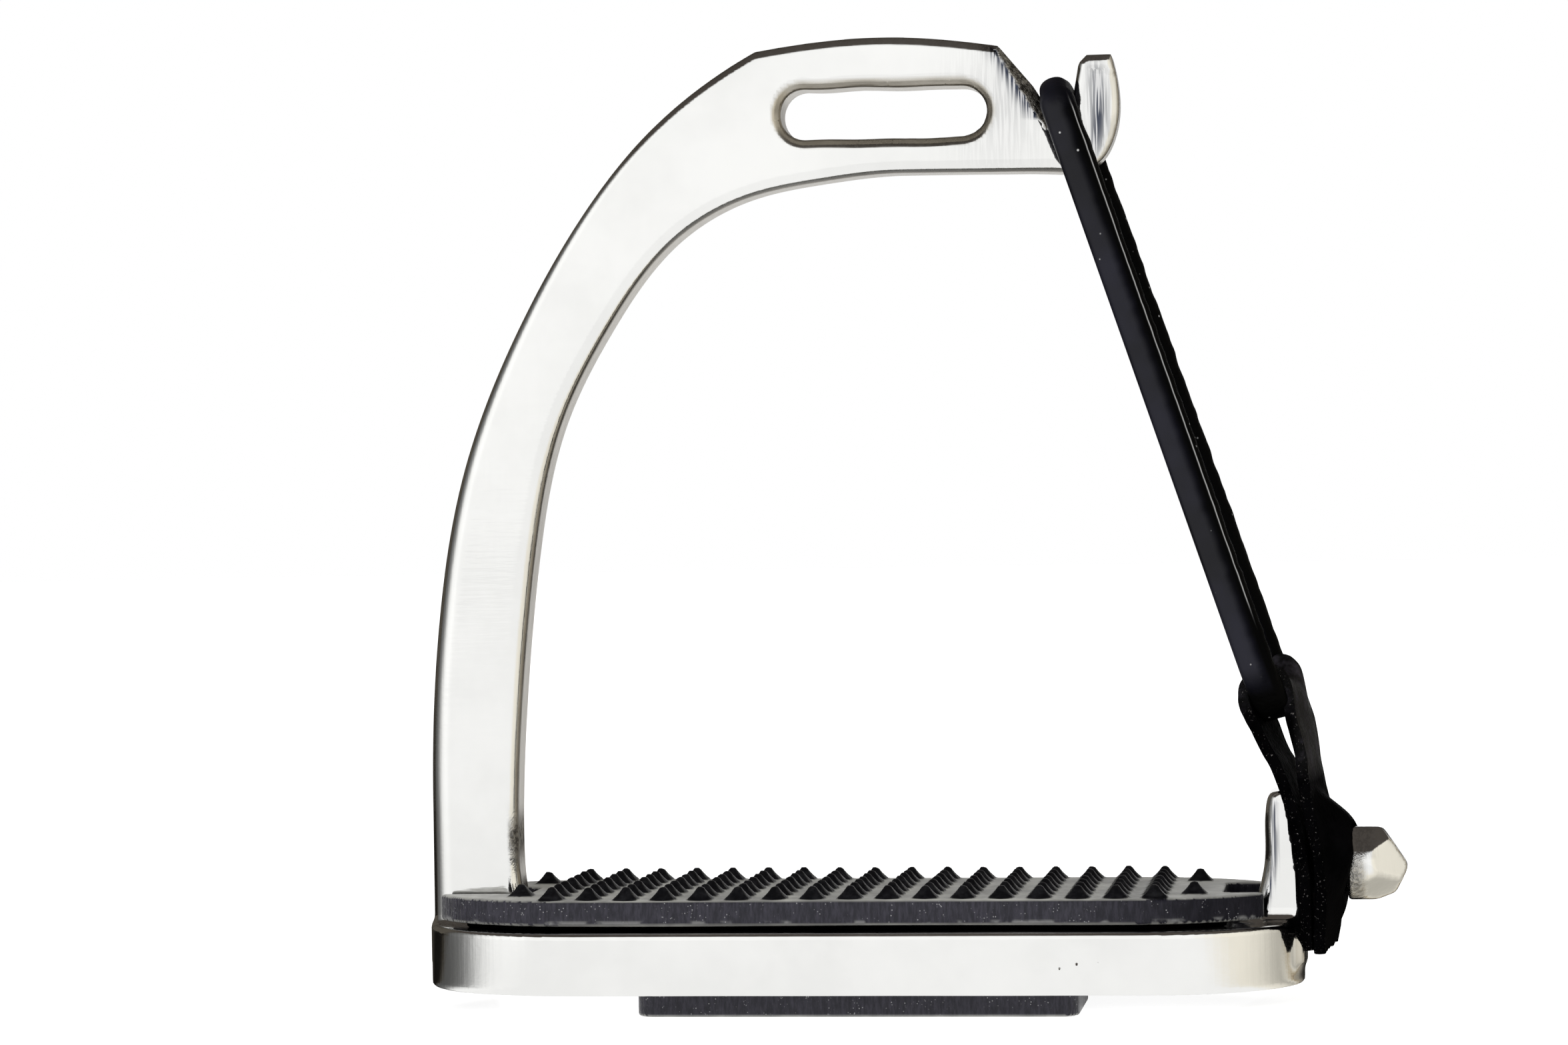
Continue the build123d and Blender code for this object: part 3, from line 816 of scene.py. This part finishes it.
def make_ring():
    """Sweeps a boxy, slightly ragged section round the centreline; it is rounder and pinched at the hook."""
    path = ring_centreline()
    count = len(path)
    ahead = np.roll(path, -2, axis=0) - np.roll(path, 2, axis=0)
    ahead /= np.linalg.norm(ahead, axis=1)[:, None]
    outward = np.stack([ahead[:, 1], -ahead[:, 0]], axis=1)
    along = np.array([RING_TOP[0] - RING_BOTTOM[0], 0, RING_TOP[1] - RING_BOTTOM[1]])
    along /= np.linalg.norm(along)
    across = np.array([0.0, 1.0, 0.0])
    square = np.cross(across, along)
    origin = np.array([RING_BOTTOM[0], 0, RING_BOTTOM[1] + lift])
    angles = np.linspace(0, 2 * pi, 36, endpoint=False)
    draw = np.random.default_rng(5)
    teeth = jitter(draw, count)
    points, edge, line = [], [], []
    for i in range(count):
        share = path[i, 1] / RING_LENGTH
        cap = np.clip((share - 0.955) / 0.03, 0, 1)     # 1 where the ring goes over the hook
        side_shift = sin(RING_LEAN) * path[i, 0] + 0.12
        middle = origin + across * path[i, 0] + along * path[i, 1] + square * side_shift
        out = across * outward[i, 0] + along * outward[i, 1]
        roll = RING_ROLL * np.sign(path[i, 0]) * (1 - cap)
        wide = square * cos(roll) - out * sin(roll)
        deep = out * cos(roll) + square * sin(roll)
        for angle in angles:
            # Place across the width and the thickness, from -1 to 1, with boxy corners
            boxy = (0.46 if cos(angle) > 0 else 0.72) * (1 - cap) + 0.95 * cap
            w = np.sign(cos(angle)) * abs(cos(angle))**boxy
            t = np.sign(sin(angle)) * abs(sin(angle))**(0.58 * (1 - cap) + 0.80 * cap)
            ragged = 0.16 * teeth[i] * max(0.0, w)**6 * (1 - cap)
            half = (RING_WIDTH / 2 + 0.1 + 0.12 * cap) * w + ragged
            in_groove = cap * np.clip((6.3 - abs(path[i, 0])) / 1.0, 0, 1)
            half = half * (1 - 0.22 * in_groove) - 0.2 * in_groove
            points.append(middle + wide * half + deep * (RING_THICKNESS / 2 * t))
            # Serrated cut edge on the right, plus painted shade over the right of the face and at the lower
            # end inside the leather
            edge.append(max(np.clip((w + 0.05 + 0.08 * teeth[i]) / 0.60, 0, 1) * (1 - 0.6 * cap),
                            np.clip((0.075 - share) / 0.04, 0, 1)))
            # Painted highlight along one edge of the front strand
            on_line = abs(angle - radians(50)) < 0.1 and path[i, 0] < 0
            line.append(on_line * np.clip((share - 0.11) / 0.06, 0, 1) * (1 - cap))
    here = np.arange(len(points)).reshape(count, -1)
    onward = np.roll(here, -1, axis=0)
    quads = np.stack([here, np.roll(here, -1, axis=1), np.roll(onward, -1, axis=1), onward], axis=-1)
    piece = to_metres("rubber_ring_band", points, quads.reshape(-1, 4))
    turn_outward(piece)
    # Cut edge and painted shade
    paint(piece, "cut_edge_and_painted_shade", edge)
    paint(piece, "painted_edge_highlight", line)
    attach(piece, "ring")
    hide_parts("rubber_ring")
    piece.data.materials.append(ring_rubber())


# ---------------------------------------------------------------- the leather tab

LEATHER = 1.9
# The strip's middle line, from its inner end up over the fold and down to its outer end
TAB_LINE = cubic([(72.3, 5.7), (72.5, 12), (72.4, 19), (71.4, 25), (69.9, 30), (67.9, 34.2), (66.0, 37.6),
                  (64.6, 41.0), (63.6, 44.2), (64.2, 46.5), (66.2, 47.6), (68.6, 48.1), (70.2, 46.4),
                  (70.9, 42.6), (71.7, 38.4), (72.2, 34.4), (72.8, 30.0), (73.9, 25), (74.7, 19), (74.9, 12),
                  (74.4, 5.7)], (0.1, 1), (-0.1, -1), 0.4)
TAB_RUN = run_along(TAB_LINE)
TAB_LENGTH, TAB_FOLD = TAB_RUN[-1], TAB_RUN[np.argmax(TAB_LINE[:, 1])]
HOLE_HEIGHT = stud_axis_z - lift
HOLE_RADIUS_INNER, HOLE_RADIUS_OUTER = 4.5, 5.5
STRIP_STEP = 0.6                        # distance between the points inside the strip
RIM_LAYERS = (-0.75, 0.0, 0.75)         # rows of points along the cut edges, as shares of half the thickness


def tab_at(run):
    """Point of the strip's middle line."""
    return np.interp(run, TAB_RUN, TAB_LINE[:, 0]), np.interp(run, TAB_RUN, TAB_LINE[:, 1])


def tab_half_width(z):
    """Half the width of the strip at a height."""
    return np.interp(z, [5, 8, 12, 16, 19, 23, 27, 31, 35, 40, 55],
                     [6.4, 8.4, 10.2, 11.1, 11.3, 10.9, 9.6, 8.2, 7.3, 7.0, 7.0])


def tab_loops(draw):
    """The strip laid flat, as points along it and across: its ragged outline, then its two button holes."""
    steps = np.linspace(0, TAB_LENGTH, int(TAB_LENGTH / 0.5))
    half = tab_half_width(tab_at(steps)[1])
    ends = np.linspace(-1, 1, 26)
    right = np.stack([steps, half + jitter(draw, len(steps), 0.14)], axis=1)
    left = np.stack([steps, -half + jitter(draw, len(steps), 0.14)], axis=1)
    start = np.stack([jitter(draw, len(ends), 0.5) + 0.25 * ends, ends * half[0]], axis=1)[1:-1]
    finish = np.stack([TAB_LENGTH + jitter(draw, len(ends), 0.5) - 0.3 * ends, ends * half[-1]], axis=1)[1:-1]
    loops = [np.vstack([left, finish, right[::-1], start[::-1]])]
    rising = TAB_RUN < TAB_FOLD
    inner = np.interp(HOLE_HEIGHT, TAB_LINE[rising, 1], TAB_RUN[rising])
    outer = np.interp(-HOLE_HEIGHT - 0.9, -TAB_LINE[~rising, 1], TAB_RUN[~rising])
    for centre, radius, count in ((inner, HOLE_RADIUS_INNER, 56), (outer, HOLE_RADIUS_OUTER, 72)):
        angle = np.linspace(0, 2 * pi, count, endpoint=False)
        wobble = radius + jitter(draw, count, 0.18)
        loops.append(np.stack([centre + wobble * np.cos(angle), wobble * np.sin(angle)], axis=1))
    return loops


def tab_surface(s, y):
    """Where a point of the flat strip's middle layer lies on the folded and twisted one."""
    on_line = np.clip(s, 0, TAB_LENGTH)
    x, z = tab_at(on_line)
    z = z + (s - on_line) * np.where(s > TAB_LENGTH / 2, -1, 1)
    outer = np.clip((s - TAB_FOLD) / 6, 0, 1)
    # Round the ring's lower end the strip cups upwards at its edges
    near_ring = eased((z - 36) / 7)
    over = np.maximum(np.abs(y) - 1.3, 0)
    rise = RING_CORNER_BOTTOM - np.sqrt(np.maximum(RING_CORNER_BOTTOM**2 - over**2, 1))
    rise = rise * np.where(y > 0, 1.6, 1.0)
    z = z + rise * near_ring * 0.95
    twist = np.interp(z, [5, 12, 20, 28, 33, 36, 42, 46], [8.5, 6.5, 7.5, 7.5, 8.5, 7.5, 10.5, 8.0])
    x = x + 0.5 * (1 - outer) * np.interp(z, [30, 35, 41, 44], [0, 1, 1, 0])
    x = x + y * np.tan(np.radians(twist)) - rise * near_ring * 0.31
    # The outer ply bulges where it is pushed over the stud's head
    away = np.hypot(y, z - HOLE_HEIGHT)
    up = np.clip((z - HOLE_HEIGHT - 0.25 * y) / 7 + 0.55, 0, 1)
    x = x + outer * eased((12.3 - away) / 6.3) * (1.8 + 2.5 * up)
    x = x + 0.12 * ripple(x, y, z, 9.0, 21) * (1 + near_ring)
    return np.stack([x, y, z + lift], axis=1)


def cut_sheet(loops, grid):
    """Triangles that fill the first loop, with the grid's points inside, and leave the other loops open."""
    outline, *holes = loops

    def depth(points):
        x, y = points.T
        return np.minimum.reduce([-polygon(x, y, outline)] + [polygon(x, y, hole) for hole in holes])

    flat = np.vstack(loops + [grid[depth(grid) > 0.3]])
    edges, base = [], 0
    for loop in loops:
        edges += [(base + i, base + (i + 1) % len(loop)) for i in range(len(loop))]
        base += len(loop)
    verts, _, faces, *_ = delaunay_2d_cdt([Vector(p) for p in flat], edges, [], 0, 1e-5)
    flat, faces = np.array([tuple(v) for v in verts]), np.array([tuple(f) for f in faces])
    return flat, faces[depth(flat[faces].mean(axis=1)) > 0]


def make_leather():
    """Two skins of the folded strip, joined by bulging, ragged rims along the outline and round the holes."""
    draw = np.random.default_rng(8)
    loops = tab_loops(draw)
    grid = np.meshgrid(np.arange(STRIP_STEP / 2, TAB_LENGTH, STRIP_STEP), np.arange(-11.4, 11.4, STRIP_STEP),
                       indexing="ij")
    flat, faces = cut_sheet(loops, np.stack(grid, axis=-1).reshape(-1, 2))
    along, across = flat.T
    middle = tab_surface(along, across)
    h = 0.2
    normal = np.cross(tab_surface(along + h, across) - tab_surface(along - h, across),
                      tab_surface(along, across + h) - tab_surface(along, across - h))
    normal /= np.linalg.norm(normal, axis=1)[:, None]
    count = len(flat)
    thick = LEATHER / 2 - 0.04
    points = [middle - normal * thick, middle + normal * thick]
    faces = faces.tolist() + (faces[:, ::-1] + count).tolist()
    first, extra = 0, 2 * count
    for loop in loops:
        turn = np.arange(len(loop))
        edge = first + turn
        onward = middle[np.roll(edge, -1)] - middle[np.roll(edge, 1)]
        onward /= np.linalg.norm(onward, axis=1)[:, None]
        out = np.cross(onward, normal[edge])
        rows = [edge]
        for layer in RIM_LAYERS:
            bulge = 0.16 * (1 - layer**2) * (1 if first == 0 else -1)
            push = out * (bulge + jitter(draw, len(loop), 0.10))[:, None]
            points.append(middle[edge] + normal[edge] * thick * layer + push)
            rows.append(extra + turn)
            extra += len(loop)
        rows.append(count + edge)
        for a, b in zip(rows[:-1], rows[1:]):
            faces += np.stack([a, np.roll(a, -1), np.roll(b, -1), b], axis=1).tolist()
        first += len(loop)
    points = np.vstack(points)
    raw = np.zeros(len(points))
    raw[:first] = raw[count:count + first] = raw[2 * count:] = 1.0
    piece = to_metres("leather_tab_strip", points, faces)
    turn_outward(piece)
    paint(piece, "raw_edge", raw)
    x, z = points[:, 0], points[:, 2] - lift
    # The fold and the outer face above the ring, which get the wear, the painted sheen and the gloss
    outer_face = np.clip((x - 69.5) / 1.5, 0, 1) * np.clip((z - 32) / 5, 0, 1)
    paint(piece, "fold", np.maximum(outer_face, np.clip((z - 43) / 4, 0, 1)))
    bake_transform(piece)
    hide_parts("tab_buttoned_end", "tab_loop_end")
    piece.data.materials.append(leather_material())


# ---------------------------------------------------------------- floor, world and lights

FLOOR_RADIUS = 5000.0


def make_floor():
    angles = np.linspace(0, 2 * pi, 96, endpoint=False)
    rim = FLOOR_RADIUS * np.stack([np.cos(angles), np.sin(angles), 0 * angles], axis=1)
    floor = to_metres("floor", rim, [range(len(rim))])
    floor.data.materials.append(floor_material())


# What polished metal sees round it, from straight in front (-1) to straight behind (1): white up to the
# sides, a brown line and greys behind them, a dark ring, and white again right behind
STUDIO_TONES = [(-1.0, (1.0, 1.0, 0.99)), (0.26, (0.95, 0.95, 0.93)), (0.40, (0.60, 0.54, 0.44)),
                (0.47, (0.34, 0.28, 0.20)), (0.53, (0.74, 0.73, 0.70)), (0.74, (0.50, 0.48, 0.45)),
                (0.80, (0.04, 0.037, 0.033)), (0.955, (0.04, 0.037, 0.033)), (0.984, (0.95, 0.95, 0.95)),
                (1.0, (1.0, 1.0, 1.0))]
WARM_SIDE = (0.93, 0.885, 0.785)          # the open side of the studio, to the right
WARM_FROM, WARM_TO = 0.5, 0.8
DARK_SIDE = (0.09, 0.08, 0.065)           # a dark card to the left, a little behind
DARK_CEILING = (0.06, 0.052, 0.045)
# How the studio darkens to the left and to the right, against the same measure from in front to behind
LEFT_TONES = [(-0.95, 1.0), (-0.75, 1.12), (-0.55, 1.06), (-0.42, 0.97), (-0.27, 0.72), (-0.15, 0.40),
              (0.04, 0.18), (0.23, 0.125), (0.40, 0.09), (0.90, 0.10)]
RIGHT_TONES = [(-0.35, 1.0), (-0.05, 0.86), (0.18, 0.66), (0.375, 0.53), (0.60, 0.85)]
SIDES_FROM, SIDES_TO = 0.35, 0.70         # how far to the side that darkening begins and is full
CARD_RADII = (1.0, 24.0, 60.0, 150.0, 420.0, 4900.0)
CARD_SIDES = 360
CARD_SPREAD = 60.0                        # half the length of the line that the cards are laid round
CARD_HEIGHT, CARD_TONE = 0.15, 0.93


def make_world():
    """White studio with darker surroundings behind and beside, which give polished edges their dark lines."""
    world = bpy.data.worlds.new("studio")
    bpy.context.scene.world = world
    world.use_nodes = True
    world.node_tree.nodes.clear()
    g = Graph(world.node_tree)
    place = g.add("ShaderNodeTexCoord").outputs["Generated"]
    to_right, behind, up = g.add("ShaderNodeSeparateXYZ", {"Vector": place}).outputs
    ray = g.add("ShaderNodeLightPath").outputs

    def share(value, low, high):
        return g.span(value, low, high, kind="LINEAR")

    warm = g.mix(share(to_right, WARM_FROM, WARM_TO), (1.0, 1.0, 1.0), WARM_SIDE)
    colour = g.mix(1.0, g.ramp(behind, STUDIO_TONES), warm, "MULTIPLY")
    for toward, tones in ((-1, LEFT_TONES), (1, RIGHT_TONES)):
        darkening = g.ramp(behind, [(place, (tone,) * 3) for place, tone in tones])
        aside = share(to_right, toward * SIDES_FROM, toward * SIDES_TO)
        colour = g.mix(aside, colour, darkening, "MULTIPLY")
    card = g.math("MULTIPLY", share(to_right, -0.20, -0.34), share(behind, 0.36, 0.46))
    colour = g.mix(card, colour, DARK_SIDE)
    overhead = g.math("MULTIPLY", share(up, 0.48, 0.62), ray["Is Glossy Ray"])
    colour = g.mix(overhead, colour, DARK_CEILING)
    lit = g.add("ShaderNodeBackground", {"Color": colour})
    seen = g.add("ShaderNodeBackground", {"Color": (1.0, 1.0, 1.0, 1.0)})
    blend = g.add("ShaderNodeMixShader")
    for socket, value in zip(blend.inputs, (ray["Is Camera Ray"], lit.outputs[0], seen.outputs[0])):
        g.feed(socket, value)
    g.add("ShaderNodeOutputWorld", {"Surface": blend.outputs[0]})


def studio_tones(to_right, behind):
    """The same tones for the floor cards, before the darkening to the left and to the right."""
    places, colours = [place for place, _ in STUDIO_TONES], np.array([colour for _, colour in STUDIO_TONES])
    tones = np.hstack([np.interp(behind, places, colours[:, i]) for i in range(3)])
    warm = np.clip((to_right - WARM_FROM) / (WARM_TO - WARM_FROM), 0, 1)
    tones = tones * (1 - warm + warm * np.array(WARM_SIDE))
    card = np.interp(-to_right, [0.20, 0.34], [0, 1]) * np.interp(behind, [0.36, 0.50], [0, 1])
    return (tones * (1 - card) + card * np.array(DARK_SIDE)) * CARD_TONE


def make_floor_cards():
    """Glowing cards on the floor that only reflections see; they carry the studio's tones on below the
    horizon, and a painted shadow just behind the iron.
    """
    angles = np.linspace(0, 2 * pi, CARD_SIDES, endpoint=False)
    directions = np.stack([np.cos(angles), np.sin(angles), 0 * angles], axis=1)
    to_right, behind = directions[:, :1], directions[:, 1:2]
    ends = np.sign(np.round(to_right, 6)) * np.array([CARD_SPREAD, 0, 0]) + np.array([0, 0, CARD_HEIGHT])
    points = np.vstack([directions * radius + ends for radius in CARD_RADII])
    corners = [(0, 0), (1, 0), (1, 1), (0, 1)]
    faces = [[(ring + out) * CARD_SIDES + (i + on) % CARD_SIDES for out, on in corners]
             for ring in range(len(CARD_RADII) - 1) for i in range(CARD_SIDES)]
    cards = to_metres("floor_cards", points, faces)
    tones = studio_tones(to_right, behind)
    away = np.abs(to_right)
    # Painted shadow of the iron on the floor close behind it, weaker to the left
    painted_shadow_behind = np.clip(behind * 3, 0, 1) * np.clip((0.92 - away) / 0.25, 0, 1)
    painted_shadow_behind = painted_shadow_behind * np.where(to_right < 0, 0.5, 1.0)
    aside = np.clip((away - SIDES_FROM) / (SIDES_TO - SIDES_FROM), 0, 1)
    rings = []
    for radius in CARD_RADII:
        near = np.interp(radius, [60, 420], [1, 0])
        moved = behind + min(0.3, 15 / radius)
        left, right = np.interp(moved, *zip(*LEFT_TONES)), np.interp(moved, *zip(*RIGHT_TONES))
        side = np.where(to_right < 0, left, right)
        rings.append(tones * (1 - aside + aside * side) * (1 - 0.8 * near * painted_shadow_behind))
    layer = cards.data.color_attributes.new("tone", "FLOAT_COLOR", "POINT")
    rgba = np.hstack([np.vstack(rings), np.ones((len(points), 1))])
    layer.data.foreach_set("color", rgba.ravel())
    n = Nodes("floor_cards")
    tone = n.add("ShaderNodeAttribute", attribute_name="tone").outputs["Color"]
    cards.data.materials.append(n.surface(base_color=(0.0, 0.0, 0.0, 1.0), roughness=1.0,
                                          specular_ior_level=0.0, emission_color=tone, emission_strength=1.0))
    cards.visible_camera = cards.visible_diffuse = cards.visible_shadow = False
    cards.visible_transmission = cards.visible_volume_scatter = False


def area_light(name, at, aim, size, power):
    data = bpy.data.lights.new(name, "AREA")
    data.shape = "DISK"
    data.size = size
    data.energy = power
    light = bpy.data.objects.new(name, data)
    bpy.context.scene.collection.objects.link(light)
    light.location = at
    light.visible_glossy = False
    light.rotation_euler = (Vector(aim) - Vector(at)).to_track_quat("-Z", "Y").to_euler()


make_world()
middle = (0, 0, 0.07)
area_light("key", (-0.9, -1.4, 1.5), middle, 1.2, 11)
area_light("fill", (1.3, -1.2, 0.9), middle, 1.0, 4)
make_floor()
make_floor_cards()
make_iron()
make_pad()
make_ring()
make_leather()
bpy.context.scene.view_settings.view_transform = "Standard"
